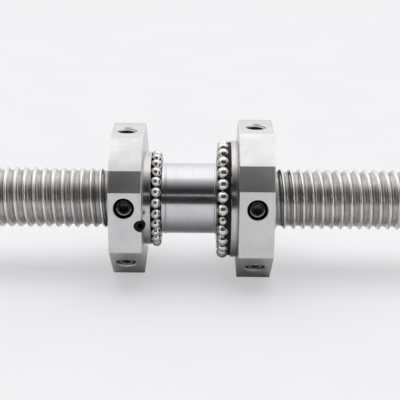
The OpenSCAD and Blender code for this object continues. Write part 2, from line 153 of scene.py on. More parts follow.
def metal(name, colour, rough, grain, depth, spread=0.08, edge_highlight=0.0, edge_highlight_width=0.0):
    """Metal with grain: stretched noise that moves colour, roughness and the surface.

    grain is cells a metre along X, Y and Z, depth the height of the grain in metres, spread how far the
    colour and roughness vary. edge_highlight paints a highlight on the edges within edge_highlight_width
    metres, patchy by the broad noise.
    """
    material, n = new_material(name)
    fine = n.noise(grain)
    broad = n.noise(even(260.0), 3.0)
    mixed = n.math("ADD", n.math("MULTIPLY", fine, 0.65), n.math("MULTIPLY", broad, 0.35))
    base = n.colour(n.ramp(mixed, *NOISE_SPAN), shade(colour, 1.0 - spread), shade(colour, 1.0 + spread))
    roughness = n.ramp(mixed, *NOISE_SPAN, rough * (1.0 + 2.0 * spread), rough * (1.0 - 2.0 * spread))
    bump = n.add("ShaderNodeBump", Strength=1.0, Distance=depth, Height=fine)
    # Painted highlight: a lighter colour along the bevelled edges, patchy by the broad noise
    if edge_highlight:
        edge = n.add("ShaderNodeBevel", Radius=edge_highlight_width)
        normal = n.add("ShaderNodeNewGeometry").outputs["Normal"]
        product = n.tree.nodes.new("ShaderNodeVectorMath")
        product.operation = "DOT_PRODUCT"
        n.feed(product.inputs[0], edge.outputs[0])
        n.feed(product.inputs[1], normal)
        edges = n.ramp(product.outputs["Value"], *EDGE_SPAN)
        edges = n.math("MULTIPLY", edges, n.ramp(broad, 0.35, 0.6, 0.4 * edge_highlight, edge_highlight))
        base = n.colour(edges, base, shade(colour, 1.35))
        roughness = n.blend(edges, roughness, rough * 0.7)
    shader = n.add("ShaderNodeBsdfPrincipled", Base_Color=base, Metallic=1.0, Roughness=roughness,
                   Normal=bump.outputs[0])
    n.surface(shader)
    return material


def dull(name, colour, rough, grain, depth, spread=0.15):
    """Rubber or plastic with a fine moulded grain."""
    material, n = new_material(name)
    fine = n.noise(grain)
    base = n.colour(n.ramp(fine, *NOISE_SPAN), shade(colour, 1.0 - spread), shade(colour, 1.0 + spread))
    bump = n.add("ShaderNodeBump", Strength=1.0, Distance=depth, Height=fine)
    roughness = n.ramp(fine, *NOISE_SPAN, rough * (1.0 + spread), rough * (1.0 - spread))
    shader = n.add("ShaderNodeBsdfPrincipled", Base_Color=base, Metallic=0.0, Roughness=roughness,
                   Normal=bump.outputs[0])
    shader.inputs["Specular IOR Level"].default_value = 0.15
    n.surface(shader)
    return material


def thread_steel(name, colour, rough, root_r, crest_r):
    """Ground thread: metal that is duller in the bottom of its groove, with painted shade darkening it
    there, by distance from X.
    """
    material, n = new_material(name)
    place = n.tree.nodes.new("ShaderNodeTexCoord").outputs["Object"]
    split = n.add("ShaderNodeSeparateXYZ", Vector=place)
    y, z = split.outputs[1], split.outputs[2]
    reach = n.math("SQRT", n.math("ADD", n.math("MULTIPLY", y, y), n.math("MULTIPLY", z, z)))
    clear_of_painted_groove_shade = n.ramp(reach, root_r, crest_r)
    fine = n.noise((5200.0, 200.0, 200.0))
    broad = n.noise(even(300.0), 3.0)
    mixed = n.math("ADD", n.math("MULTIPLY", fine, 0.6), n.math("MULTIPLY", broad, 0.4))
    light = n.colour(n.ramp(mixed, *NOISE_SPAN), shade(colour, 0.9), shade(colour, 1.08))
    # Painted shade: the darker colour that fills the bottom of the groove
    dark = n.colour(n.ramp(broad, 0.35, 0.65), shade(colour, 0.45), shade(colour, 0.62))
    base = n.colour(clear_of_painted_groove_shade, dark, light)
    roughness = n.math("ADD", n.blend(clear_of_painted_groove_shade, rough * 1.5, rough), n.math("MULTIPLY", mixed, 0.06))
    bump = n.add("ShaderNodeBump", Strength=1.0, Distance=1.5e-6, Height=fine)
    shader = n.add("ShaderNodeBsdfPrincipled", Base_Color=base, Metallic=1.0, Roughness=roughness,
                   Normal=bump.outputs[0])
    n.surface(shader)
    return material


MATERIALS = {
    "screw_steel": thread_steel("screw_steel", (0.75, 0.73, 0.705), 0.2, 0.0072, 0.0077),
    "nut_steel": metal("nut_steel", (0.61, 0.615, 0.635), 0.17, (9000.0, 60.0, 60.0), 2.0e-6, 0.05),
    "race_steel": metal("race_steel", (0.56, 0.545, 0.54), 0.17, (7000.0, 60.0, 60.0), 1.6e-6, 0.07),
    "housing": metal("housing", (0.65, 0.645, 0.65), 0.34, even(4200.0), 4.5e-6, 0.09, 0.6, 1.5e-4),
    "ball_steel": metal("ball_steel", (0.70, 0.69, 0.665), 0.04, even(1800.0), 1.0e-7, 0.04),
    "set_screw": metal("set_screw", (0.40, 0.37, 0.34), 0.07, even(3600.0), 3e-7, 0.18, 0.8, 8e-5),
    "black_screw": metal("black_screw", (0.02, 0.02, 0.022), 0.35, even(4200.0), 2e-6, 0.2, 0.5, 6e-5),
    "spring_steel": metal("spring_steel", (0.26, 0.26, 0.27), 0.32, even(4200.0), 2e-6, 0.12),
    "wiper": dull("wiper", (0.03, 0.03, 0.032), 0.6, even(3600.0), 6e-6),
    "cage": dull("cage", (0.012, 0.011, 0.010), 0.5, even(3600.0), 4e-6),
    "pad_brass": metal("pad_brass", (0.72, 0.55, 0.26), 0.28, even(3600.0), 1.5e-6),
    "deflector": metal("deflector", (0.58, 0.43, 0.22), 0.34, even(3600.0), 2e-6),
}
# Lighter, rougher steel. On the set screws' raised rings it is a partly painted highlight; on the threads
# inside the housing holes, darker than the housing, it is painted shade
RING_STEEL = metal("ring_steel", (0.42, 0.41, 0.39), 0.25, even(3600.0), 1e-6)
# Dark steel that paints shade: beside the ball rows, on the walls of the tapped holes, and on the set
# screws' chamfers and sockets
SHADE_PAINTED_STEEL = metal("shade_painted_steel", (0.07, 0.062, 0.055), 0.28, even(4200.0), 1.5e-6, 0.2)

# ---------------------------------------------------------------- mesh helpers


def add_piece(name, bm, slot, body, nodes=(), sharp=30.0, extra=()):
    """Turns a bmesh in millimetres into a smooth-shaded object that rides a body and shows for nodes."""
    bmesh.ops.scale(bm, vec=(MM, MM, MM), verts=bm.verts)
    bmesh.ops.recalc_face_normals(bm, faces=bm.faces)
    mesh = bpy.data.meshes.new(name)
    bm.to_mesh(mesh)
    bm.free()
    mesh.polygons.foreach_set("use_smooth", [True] * len(mesh.polygons))
    mesh.set_sharp_from_angle(angle=math.radians(sharp))
    mesh.materials.append(MATERIALS[slot])
    for material in extra:
        mesh.materials.append(material)
    obj = bpy.data.objects.new(name, mesh)
    bpy.context.scene.collection.objects.link(obj)
    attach(obj, body)
    if nodes:
        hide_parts(*nodes)
    return obj


def box_mm(node):
    """Low and high corner of a CAD node's box, in millimetres."""
    low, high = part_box(node)
    return low / MM, high / MM


def around(angle):
    """Direction square to the axis at an angle from the front over the top."""
    a = math.radians(angle)
    return Vector((0.0, -math.cos(a), math.sin(a)))


def standing_at(x, angle, reach):
    """Frame whose +Z leaves the screw axis at an angle, with its origin at that reach from the axis."""
    out = around(angle)
    side = Vector((1.0, 0.0, 0.0))
    return Matrix.Translation(Vector((x, 0.0, 0.0)) + out * reach) @ Matrix((
        side, out.cross(side), out)).transposed().to_4x4()


def softened(outline, radius, steps=3):
    """The closed outline with each sharp corner rounded, as far as its two sides have room for."""
    points = [Vector(p) for p in outline]
    result = []
    for i, p in enumerate(points):
        a, b = points[i - 1] - p, points[(i + 1) % len(points)] - p
        turn = a.angle(b)
        reach = min(radius / math.tan(turn / 2), 0.45 * a.length, 0.45 * b.length) if turn > 0.01 else 0.0
        if turn > math.radians(150) or reach < 1e-3:
            result.append(p)
            continue
        start, end = p + a.normalized() * reach, p + b.normalized() * reach
        for k in range(steps + 1):
            t = k / steps
            result.append(start * (1 - t) ** 2 + p * 2 * t * (1 - t) + end * t ** 2)
    return result


def arc(centre, radius, start, end, steps):
    """Points of an arc in the outline plane, with angles in degrees."""
    turns = [math.radians(start + (end - start) * k / steps) for k in range(steps + 1)]
    return [(centre[0] + radius * math.cos(t), centre[1] + radius * math.sin(t)) for t in turns]


def join_rings(bm, rings, closed):
    """Quads between neighbouring rings of vertices, and from the last to the first when closed."""
    pairs = list(zip(rings, rings[1:])) + ([(rings[-1], rings[0])] if closed else [])
    faces = []
    for one, two in pairs:
        n = len(one)
        for i in range(n):
            faces.append(bm.faces.new((one[i], one[(i + 1) % n], two[(i + 1) % n], two[i])))
    return faces


def turned(outline, segments=256):
    """Solid of revolution about X of a closed outline of (radius, x) points."""
    bm = bmesh.new()
    turns = [2 * math.pi * i / segments for i in range(segments)]
    rings = [[bm.verts.new((x, r * math.cos(t), r * math.sin(t))) for t in turns] for r, x in outline]
    join_rings(bm, rings, closed=True)
    return bm


def turned_up(outline, segments=64):
    """Solid of revolution about Z of an open outline of (radius, z) points whose ends lie on the axis."""
    bm = bmesh.new()
    turns = [2 * math.pi * i / segments for i in range(segments)]
    rings = [[bm.verts.new((r * math.cos(t), r * math.sin(t), z)) for t in turns] for r, z in outline[1:-1]]
    join_rings(bm, rings, closed=False)
    for ring, (_, z) in ((rings[0], outline[0]), (rings[-1], outline[-1])):
        tip = bm.verts.new((0.0, 0.0, z))
        for i in range(segments):
            bm.faces.new((ring[i], ring[(i + 1) % segments], tip))
    return bm


def as_object(bm):
    """Temporary object for cutting, in millimetres."""
    bmesh.ops.recalc_face_normals(bm, faces=bm.faces)
    mesh = bpy.data.meshes.new("temporary")
    bm.to_mesh(mesh)
    bm.free()
    obj = bpy.data.objects.new("temporary", mesh)
    bpy.context.scene.collection.objects.link(obj)
    return obj


def cut_away(body_bm, cutters):
    """The body's mesh with each cutter's solid taken away, as a new bmesh."""
    body = as_object(body_bm)
    tools = [as_object(c) for c in cutters]
    for tool in tools:
        modifier = body.modifiers.new("cut", "BOOLEAN")
        modifier.operation = "DIFFERENCE"
        modifier.solver = "EXACT"
        modifier.object = tool
    graph = bpy.context.evaluated_depsgraph_get()
    result = bmesh.new()
    result.from_mesh(body.evaluated_get(graph).to_mesh())
    for obj in [body] + tools:
        mesh = obj.data
        bpy.data.objects.remove(obj)
        bpy.data.meshes.remove(mesh)
    return result


# ---------------------------------------------------------------- screw

LEAD = 2.5
GROOVE_START = -0.5
GROOVE_R = 0.83
GROOVE_TURN = 55.0
GROOVE_STEPS = 12
BALL_CIRCLE_R = 7.95
CREST_R = 8.0
CREST_HALF = LEAD / 2
# The rounded crest: where it meets the groove, and how fast it falls with the square of the way from its top
CREST_START = 0.70
CREST_FALL = 1.65
CREST_STEPS = 6
THREAD_END = 62.5
THREAD_CHAMFER = 0.8
SCREW_COLUMNS = 84
LEFT_JOURNAL_R = 6.0
RIGHT_JOURNAL_R = 5.0


def thread_profile():
    """Offsets and radii of one pitch of the thread, from one crest to the next."""
    turns = [math.radians(GROOVE_TURN * (2 * k / GROOVE_STEPS - 1)) for k in range(GROOVE_STEPS + 1)]
    groove = [(GROOVE_R * math.sin(t), BALL_CIRCLE_R - GROOVE_R * math.cos(t)) for t in turns]
    ways = [(CREST_HALF - CREST_START) * (1 - k / CREST_STEPS) for k in range(CREST_STEPS + 1)]
    rise = [(CREST_HALF - way, CREST_R - CREST_FALL * way ** 2) for way in ways]
    return [(-dx, r) for dx, r in reversed(rise)] + groove + rise[:-1]


def thread_column(turn, turns):
    """Stations and radii of the helical lines that cross one half-plane through the axis."""
    offsets, radii = np.array(thread_profile()).T
    start = GROOVE_START + LEAD * turn
    x = (start + LEAD * np.arange(-turns, turns + 1)[:, None] + offsets[None, :]).ravel()
    x = np.clip(x, -THREAD_END, THREAD_END)
    phase = (x - start - offsets[0]) % LEAD + offsets[0]
    r = np.interp(phase, np.append(offsets, offsets[0] + LEAD), np.append(radii, radii[0]))
    return x, np.minimum(r, CREST_R - np.maximum(0.0, np.abs(x) - THREAD_END + THREAD_CHAMFER))


def line_of_vertices(bm, t, x, r):
    """Vertices along the shaft at one angle; points held back to the same station share one vertex."""
    vertices = []
    for i in range(len(x)):
        if vertices and abs(x[i] - x[i - 1]) < 1e-6:
            vertices.append(vertices[-1])
        else:
            vertices.append(bm.verts.new((x[i], r[i] * math.cos(t), r[i] * math.sin(t))))
    return vertices


def screw_shaft():
    """Threaded shaft: helical lines of vertices held back to the ends, then the two journals."""
    low, high = box_mm("screw_shaft")
    lines = len(thread_profile())
    turns = int(THREAD_END / LEAD) + 2
    bm = bmesh.new()
    angles = [2 * math.pi * j / SCREW_COLUMNS for j in range(SCREW_COLUMNS)]
    columns = [line_of_vertices(bm, t, *thread_column(j / SCREW_COLUMNS, turns))
               for j, t in enumerate(angles)]
    for one, two in zip(columns, columns[1:] + [columns[0][lines:]]):
        for k in range(min(len(one), len(two)) - 1):
            corners = list(dict.fromkeys((one[k], one[k + 1], two[k + 1], two[k])))
            if len(corners) > 2:
                bm.faces.new(corners)
    for side, end, tip, journal_r in ((-1, 0, low.x, LEFT_JOURNAL_R), (1, -1, high.x, RIGHT_JOURNAL_R)):
        rings = [[column[end] for column in columns]]
        for r, x in journal_outline(journal_r, abs(tip)):
            rings.append([bm.verts.new((side * x, r * math.cos(t), r * math.sin(t))) for t in angles])
        join_rings(bm, rings, closed=False)
        bm.faces.new(rings[-1])
    add_piece("screw", bm, "screw_steel", "screw", ["screw_shaft"], 38.0)


def journal_outline(r, tip):
    """Radius and station of a journal: fillet, plain part, chamfer and centre hole with its guard."""
    chamfer, fillet = 0.8, 0.5
    guard_r, cone_r, drill_r = 1.9, 1.6, 0.5
    return [(r + fillet, THREAD_END), (r + 0.3 * fillet, THREAD_END + 0.2 * fillet),
            (r, THREAD_END + 0.8 * fillet), (r, tip - chamfer),
            (r - 0.1, tip - 0.9 * chamfer + 0.02), (r - chamfer, tip), (guard_r, tip),
            (cone_r, tip - guard_r + cone_r), (drill_r, tip - 2.0), (0.8 * drill_r, tip - 2.6)]


# ---------------------------------------------------------------- balls


def ball_centres(node):
    """Centre and radius of each ball of a CAD node, in millimetres, from its separate shells."""
    bm = bmesh.new()
    bm.from_mesh(frame["nodes"][node].data)
    bmesh.ops.remove_doubles(bm, verts=bm.verts, dist=1e-7)
    left = set(bm.verts)
    balls = []
    while left:
        shell, edge = set(), [left.pop()]
        while edge:
            v = edge.pop()
            shell.add(v)
            for e in v.link_edges:
                other = e.other_vert(v)
                if other in left:
                    left.discard(other)
                    edge.append(other)
        places = np.array([v.co for v in shell]) / MM
        low, high = places.min(axis=0), places.max(axis=0)
        balls.append((Vector((low + high) / 2), float((high - low).max() / 2)))
    bm.free()
    return balls


def ball_row(node, body):
    """Every ball of a row as a fine sphere."""
    bm = bmesh.new()
    for centre, r in ball_centres(node):
        bmesh.ops.create_icosphere(bm, subdivisions=4, radius=r, matrix=Matrix.Translation(centre))
    add_piece(node + "_fine", bm, "ball_steel", body, [node], 80.0)


# ---------------------------------------------------------------- nut, race cups and wipers

# Station and radius of each ball row's middle, and the radius of the grooves that its balls run in
LEFT_ROW_X, LEFT_ROW_R, LEFT_GROOVE_R = -8.9, 11.5, 1.425
RIGHT_ROW_X, RIGHT_ROW_R, RIGHT_GROOVE_R = 8.5, 14.2, 1.6375


def paint_shade_near_balls(bm, near):
    """Painted shade: the dark second material on the faces whose middle station and radius satisfy near."""
    for face in bm.faces:
        middle = face.calc_center_median()
        if near(middle.x, math.hypot(middle.y, middle.z)):
            face.material_index = 1


def ring_groove(hub, root, x):
    """Points of a snap ring's groove in a hub, from one wall to the other."""
    return [(hub, x[0]), (root, x[0]), (root, x[1]), (hub, x[1])]


def nut_sleeve():
    """The nut's outside: hubs, shoulders at the ball rows, and the sleeve between its two fine lips."""
    low, high = box_mm("nut_body")
    bore, left_hub, right_hub, chamfer = 8.3, 10.0, 12.3, 0.3
    left_ring, left_ring_x = 9.4, (-16.95, -16.25)
    right_ring, right_ring_x = 11.6, (16.95, 17.85)
    left_shoulder, left_shoulder_x, neck, neck_x = 10.4, -7.95, 9.3, -7.45
    sleeve, lip, half, lip_end, ease = 9.33, 9.5, 6.7, 6.3, 0.05
    right_shoulder, right_shoulder_x = 13.2, 7.0
    left_groove_end, right_groove_start = 140.5, 232.4
    outline = [(bore, low.x), (left_hub - chamfer, low.x), (left_hub, low.x + chamfer)]
    outline += ring_groove(left_hub, left_ring, left_ring_x)
    outline += [(left_hub, LEFT_ROW_X)]
    outline += arc((LEFT_ROW_R, LEFT_ROW_X), LEFT_GROOVE_R, 180.0, left_groove_end, 6)
    outline += [(left_shoulder, left_shoulder_x), (neck + ease, neck_x), (neck, neck_x + ease),
                (neck, -half), (lip - ease, -half), (lip, -half + ease), (lip, -lip_end - ease),
                (lip - ease, -lip_end), (sleeve, 2 * ease - lip_end), (sleeve, lip_end - 2 * ease),
                (lip - ease, lip_end), (lip, lip_end + ease), (lip, half - ease), (lip + ease, half),
                (right_shoulder - 2 * ease, right_shoulder_x - 1.4 * ease),
                (right_shoulder, right_shoulder_x)]
    outline += arc((RIGHT_ROW_R, RIGHT_ROW_X), RIGHT_GROOVE_R, right_groove_start, 180.0, 6)
    outline += [(right_hub, RIGHT_ROW_X)]
    outline += ring_groove(right_hub, right_ring, right_ring_x)
    outline += [(right_hub, high.x - chamfer), (right_hub - chamfer, high.x), (bore, high.x)]
    bm = turned(outline)
    # Painted shade: dark steel on the hubs and shoulders beside the ball rows
    paint_shade_near_balls(bm, lambda x, r: x < neck_x - ease or x > half - 0.01)
    add_piece("nut_turned", bm, "nut_steel", "nut", ["nut_body"], extra=[SHADE_PAINTED_STEEL])


def left_race_cup():
    """Plain ring with a ball groove in its inner face and a recess for the snap ring."""
    low, high = box_mm("left_race_cup")
    r, face, end = high.z, high.x, low.x
    bore, recess, recess_x = 10.3, 11.0, -16.1
    painted_shade_depth, painted_shade_r = 1.5, 12.0
    turn = math.degrees(math.acos((LEFT_ROW_X - face) / LEFT_GROOVE_R))
    groove = arc((LEFT_ROW_R, LEFT_ROW_X), LEFT_GROOVE_R, -90 - turn, -90 + turn, 12)
    edges = softened([(bore, face), (bore, recess_x), (recess, recess_x), (recess, end),
                      (r, end), (r, face)], 0.22)
    bm = turned([tuple(p) for p in edges] + groove[::-1])
    # Painted shade: dark steel on the face at the balls and in the bore just inside it
    paint_shade_near_balls(bm, lambda x, r: x > face - 0.02 or (x > face - painted_shade_depth and r < painted_shade_r))
    add_piece("left_cup_ring", bm, "race_steel", "left_unit", ["left_race_cup"], extra=[SHADE_PAINTED_STEEL])


def right_race_cup():
    """Flanged ring: raceway land, wider rim beside the housing, and a stem inside it."""
    low, high = box_mm("right_race_cup")
    r, face, end = high.z, low.x, high.x
    bore, land_r, rim_x, stem_r, step_x, recess, recess_x = 12.6, 14.7, 10.5, 14.6, 12.33, 13.6, 16.8
    turn = math.degrees(math.acos((face - RIGHT_ROW_X) / RIGHT_GROOVE_R))
    groove = arc((RIGHT_ROW_R, RIGHT_ROW_X), RIGHT_GROOVE_R, 90 + turn, 90 - turn, 12)
    groove = [p for p in groove if p[0] < land_r]
    edges = softened([(land_r, rim_x), (r, rim_x), (r, step_x), (stem_r, step_x), (stem_r, end),
                      (recess, end), (recess, recess_x), (bore, recess_x), (bore, face)], 0.25)
    bm = turned([tuple(p) for p in edges] + groove)
    # Painted shade: dark steel on the raceway side of the rim, beside the balls
    paint_shade_near_balls(bm, lambda x, r: x < rim_x - 0.02)
    add_piece("right_cup_ring", bm, "race_steel", "right_unit", ["right_race_cup"], extra=[SHADE_PAINTED_STEEL])


def wiper(node, body, inner_is_low):
    """Rubber disc with a raised rim, a shallow dish and a lip that leans along the screw."""
    low, high = box_mm(node)
    inner, outer = (low.x, high.x) if inner_is_low else (high.x, low.x)
    out = 1 if inner_is_low else -1
    r, bore, ease = high.z, 8.1, 0.12
    rim, rim_foot, lip_foot, lip = r - 1.5, r - 2.0, bore + 1.6, bore + 0.75
    dish, mouth, throat = outer - out * 0.38, outer - out * ease, inner + out * 0.35
    edges = softened([(bore + 0.5, inner), (r, inner), (r, outer), (rim, outer), (rim_foot, dish),
                      (lip_foot, dish), (lip, outer), (bore, mouth), (bore + 0.25, throat)], ease)
    add_piece(node + "_disc", turned([tuple(p) for p in edges], 160), "wiper", body, [node])


# ---------------------------------------------------------------- housings

# Angles of a housing's corners, upwards in front: end of the front flat, ridge in the slope, end of the top
LEFT_CORNERS = (23.7, 39.8, 69.3)
RIGHT_CORNERS = (25.0, 43.0, 72.0)
LEFT_BORE_R, LEFT_CLIP_X = 12.32, (-20.12, -19.48)
RIGHT_BORE_R, RIGHT_CLIP_X = 14.62, (20.43, 21.07)
CLIP_DEPTH = 0.55
END_BEVEL = 0.30
EDGE_BEVEL = 0.07
FRONT_SCREW_ANGLE = 12.0
# Where the top, front and sloping set screws start and end, from the axis
LEFT_START, LEFT_ENDS = 13.2, (16.8, 17.2, 18.1)
RIGHT_START, RIGHT_ENDS = 15.1, (18.1, 18.1, 18.95)
HOLE_R = 2.5
HOLE_BOTTOM = 8.0
CUT_PAST = 3.0
SPOT_R = 2.72
SPOT_DEPTH = 0.3
SINK_DEPTH = 0.35
THREAD_PITCH = 0.8
THREAD_CLEAR = 0.15


def prism(r, corners, x):
    """Octagonal bar with a ridge in two of its sides, its long edges eased and its ends chamfered."""
    half = list(corners) + [180.0 - corners[2], 180.0 - corners[0]]
    angles = half + [a + 180.0 for a in half]
    bm = bmesh.new()
    ends = [[bm.verts.new(around(a) * r + Vector((station, 0.0, 0.0))) for a in angles] for station in x]
    join_rings(bm, ends, closed=False)
    caps = [bm.faces.new(ends[0]), bm.faces.new(ends[1])]
    bmesh.ops.recalc_face_normals(bm, faces=bm.faces)
    rims = [e for cap in caps for e in cap.edges]
    bmesh.ops.bevel(bm, geom=rims, offset=END_BEVEL, offset_type="OFFSET", segments=2, profile=0.6,
                    affect="EDGES")
    longs = [e for e in bm.edges if abs(e.verts[0].co.x - e.verts[1].co.x) > 1.0]
    bmesh.ops.bevel(bm, geom=longs, offset=EDGE_BEVEL, offset_type="OFFSET", segments=2, profile=0.5,
                    affect="EDGES")
    return bm


def screw_angles(corners):
    """Angles of a housing's set screws: top, front, front slope, and the three opposite them."""
    slope = -(corners[0] + corners[2]) / 2
    return [90.0, FRONT_SCREW_ANGLE, slope, 270.0, FRONT_SCREW_ANGLE + 180.0, slope + 180.0]


def screw_station(side):
    """Station of a housing's set screws along the axis."""
    low, high = box_mm(side + "_set_screw_1")
    return (low.x + high.x) / 2


def flat_distances(r, corners):
    """Distance from the axis of the flat that each set screw is in."""
    a, b = math.radians(corners[0]), math.radians(corners[2])
    return [r * math.sin(b), r * math.cos(a), r * math.cos((b - a) / 2)] * 2


def bore_cutter(bore_r, x, clip_x):
    """Bore with a chamfer at each face and the circlip's groove."""
    low, high = x
    chamfer, over, centre = 0.4, 1.0, 0.001
    wide = bore_r + chamfer + over
    return turned([(centre, low - over), (wide, low - over), (bore_r, low + chamfer)]
                  + ring_groove(bore_r, bore_r + CLIP_DEPTH, clip_x)
                  + [(bore_r, high - chamfer), (wide, high + over), (centre, high + over)], 224)


def hole_cutter(x, angle, flat, leans):
    """Tapped hole with a spot face where it leans on its flat, and a countersink where it doesn't."""
    top = flat + CUT_PAST
    if leans:
        mouth = [(HOLE_R, flat - 1.5 * SPOT_DEPTH), (HOLE_R + 0.1, flat - SPOT_DEPTH),
                 (SPOT_R, flat - SPOT_DEPTH), (SPOT_R, top)]
    else:
        mouth = [(HOLE_R, flat - SINK_DEPTH), (HOLE_R + 2 * SINK_DEPTH, flat + SINK_DEPTH),
                 (HOLE_R + 2 * SINK_DEPTH, top)]
    bm = turned_up([(0.0, HOLE_BOTTOM), (HOLE_R, HOLE_BOTTOM)] + mouth + [(0.0, top)], 72)
    bmesh.ops.transform(bm, matrix=standing_at(x, angle, 0.0), verts=bm.verts)
    return bm


def thread_ridge(bm, matrix, bottom, top):
    """Internal thread of a tapped hole: a ridge that winds up the wall and fades out at both ends."""
    steps, crest, foot_half, tip_half = 40, 0.36, 0.36, 0.06
    fade_steps = 0.3 * steps
    wall = HOLE_R + 0.06
    count = int((top - bottom) / THREAD_PITCH * steps)
    sections = []
    for i in range(count + 1):
        t = 2 * math.pi * i / steps
        z = bottom + THREAD_PITCH * i / steps
        tip = HOLE_R + 0.02 - crest * min(1.0, i / fade_steps, (count - i) / fade_steps)
        spots = ((wall, -foot_half), (tip, -tip_half), (tip, tip_half), (wall, foot_half))
        sections.append([bm.verts.new(matrix @ Vector((r * math.cos(t), r * math.sin(t), z + dz)))
                         for r, dz in spots])
    for one, two in zip(sections, sections[1:]):
        for k in range(4):
            bm.faces.new((one[k], one[(k + 1) % 4], two[(k + 1) % 4], two[k]))
    bm.faces.new(sections[0])
    bm.faces.new(sections[-1])


def paint_shade_in_holes(bm, screw_x, angles, flats):
    """Painted shade: the dark second material on the walls of the tapped holes, below their mouths."""
    for face in bm.faces:
        middle = face.calc_center_median() - Vector((screw_x, 0.0, 0.0))
        for angle, flat in zip(angles, flats):
            along = middle.dot(around(angle))
            if 0.0 < along < flat - SINK_DEPTH and (middle - around(angle) * along).length < HOLE_R + 0.05:
                face.material_index = 1


def housing(side, corners, bore_r, clip_x, screw_ends):
    """One housing with its bore and tapped holes cut, and the threads inside the holes."""
    node, unit = side + "_housing", side + "_unit"
    low, high = box_mm(node)
    r = high.z / math.sin(math.radians(corners[2]))
    x = (low.x, high.x)
    screw_x = screw_station(side)
    flats = flat_distances(r, corners)
    angles = screw_angles(corners)
    cutters = [bore_cutter(bore_r, x, clip_x)]
    cutters += [hole_cutter(screw_x, a, f, i % 3 == 1) for i, (a, f) in enumerate(zip(angles, flats))]
    if side == "left":
        cutters.append(lock_hole_cutter())
    bm = cut_away(prism(r, corners, x), cutters)
    # Painted shade on the walls of the tapped holes
    paint_shade_in_holes(bm, screw_x, angles, flats)
    add_piece(side + "_octagon", bm, "housing", unit, [node], 20.0, [SHADE_PAINTED_STEEL])
    ridges = bmesh.new()
    for i, (angle, flat) in enumerate(zip(angles, flats)):
        bottom, top = screw_ends[i % 3] + THREAD_CLEAR, flat - SINK_DEPTH - 0.1
        if top - bottom > THREAD_PITCH:
            thread_ridge(ridges, standing_at(screw_x, angle, 0.0), bottom, top)
    threads = add_piece(side + "_hole_threads", ridges, "housing", unit, sharp=40.0)
    # Painted shade: the threads take the ring steel, darker than the housing
    threads.data.materials[0] = RING_STEEL


# ---------------------------------------------------------------- screws

# Station, angle and reach of the lock screw's outer end
LOCK_PLACE = (-12.3, -2.5, 18.0)
# How far it leans towards the sleeve, in degrees
LOCK_TILT = 32.0
LOCK_R = 1.6
LOCK_LENGTH = 3.0
LOCK_CLEAR = 0.02


def lock_matrix():
    """Frame of the lock screw: its origin on the screw's outer end, its +Z out of the housing."""
    return standing_at(*LOCK_PLACE) @ Matrix.Rotation(math.radians(LOCK_TILT), 4, "Y")


def lock_hole_cutter():
    """Blind hole for the lock screw."""
    r, bottom = LOCK_R + LOCK_CLEAR, -LOCK_LENGTH - LOCK_CLEAR
    bm = turned_up([(0.0, bottom), (r, bottom), (r, CUT_PAST), (0.0, CUT_PAST)], 56)
    bmesh.ops.transform(bm, matrix=lock_matrix(), verts=bm.verts)
    return bm


def grub_screw(r, length, socket_w, edge, ring_r, ring_w):
    """Headless screw along Z with its socket end at 0: chamfers and a raised ring round a hexagon socket;
    the ring in lighter steel as a partly painted highlight, the outside, socket and floor in dark steel as
    painted shade.
    """
    n = 96
    point, ease, ring_rise, seat, socket_lip, cone = 0.4, 0.03, 0.05, -0.03, 0.12, 0.3
    bottom = -0.62 * length
    bm = bmesh.new()
    turns = [2 * math.pi * i / n for i in range(n)]

    def circle(radius, z):
        return [bm.verts.new((radius * math.cos(t), radius * math.sin(t), z)) for t in turns]

    def hexagon(width, z):
        spots = []
        for t in turns:
            reach = width / 2 / math.cos((t + math.pi / 6) % (math.pi / 3) - math.pi / 6)
            spots.append(bm.verts.new((reach * math.cos(t), reach * math.sin(t), z)))
        return spots

    outside = [circle(r - point, -length), circle(r, -length + point), circle(r, -edge - ease),
               circle(r - 0.25 * edge, -0.72 * edge), circle(r - edge + ease, -0.02),
               circle(r - edge - 0.05, 0.0)]
    ring = [circle(ring_r, 0.0), circle(ring_r - 0.3 * ring_w, ring_rise), circle(ring_r - ring_w, seat)]
    socket = [hexagon(socket_w + socket_lip, seat), hexagon(socket_w, seat - socket_lip),
              hexagon(socket_w, bottom)]
    floor = [circle(0.44 * socket_w, bottom - 0.02)]
    dark = join_rings(bm, outside, closed=False)
    join_rings(bm, outside[-1:] + ring[:1], closed=False)
    bright = join_rings(bm, ring, closed=False)
    join_rings(bm, ring[-1:] + socket[:1], closed=False)
    dark += join_rings(bm, socket + floor, closed=False)
    for end, z in ((floor[0], bottom - cone), (outside[0], -length)):
        tip = bm.verts.new((0.0, 0.0, z))
        dark += [bm.faces.new((end[i], end[(i + 1) % n], tip)) for i in range(n)]
    # Partly painted highlight on the ring (lighter steel), painted shade on the outside, chamfer and socket
    # (dark steel)
    for faces, index in ((bright, 1), (dark, 2)):
        for face in faces:
            face.material_index = index
    return bm


def set_screws(side, corners, start, ends):
    """The six set screws of a housing."""
    for i, angle in enumerate(screw_angles(corners)):
        end = ends[i % 3]
        bm = grub_screw(r=2.46, length=end - start, socket_w=2.2, edge=0.55, ring_r=1.74, ring_w=0.12)
        bmesh.ops.transform(bm, matrix=standing_at(screw_station(side), angle, end), verts=bm.verts)
        name = "%s_set_screw_%d" % (side, i + 1)
        add_piece(name + "_socket", bm, "set_screw", side + "_unit", [name], 28.0,
                  [RING_STEEL, SHADE_PAINTED_STEEL])


def lock_screw():
    """Small black screw in the inner edge of the left housing, tilted towards the sleeve."""
    bm = grub_screw(r=LOCK_R, length=LOCK_LENGTH, socket_w=1.3, edge=0.15, ring_r=0.95, ring_w=0.08)
    bmesh.ops.transform(bm, matrix=lock_matrix(), verts=bm.verts)
    for face in bm.faces:
        face.material_index = 0
    add_piece("left_lock_screw_socket", bm, "black_screw", "left_unit", ["left_lock_screw"], 28.0)


# ---------------------------------------------------------------- camera, floor and light

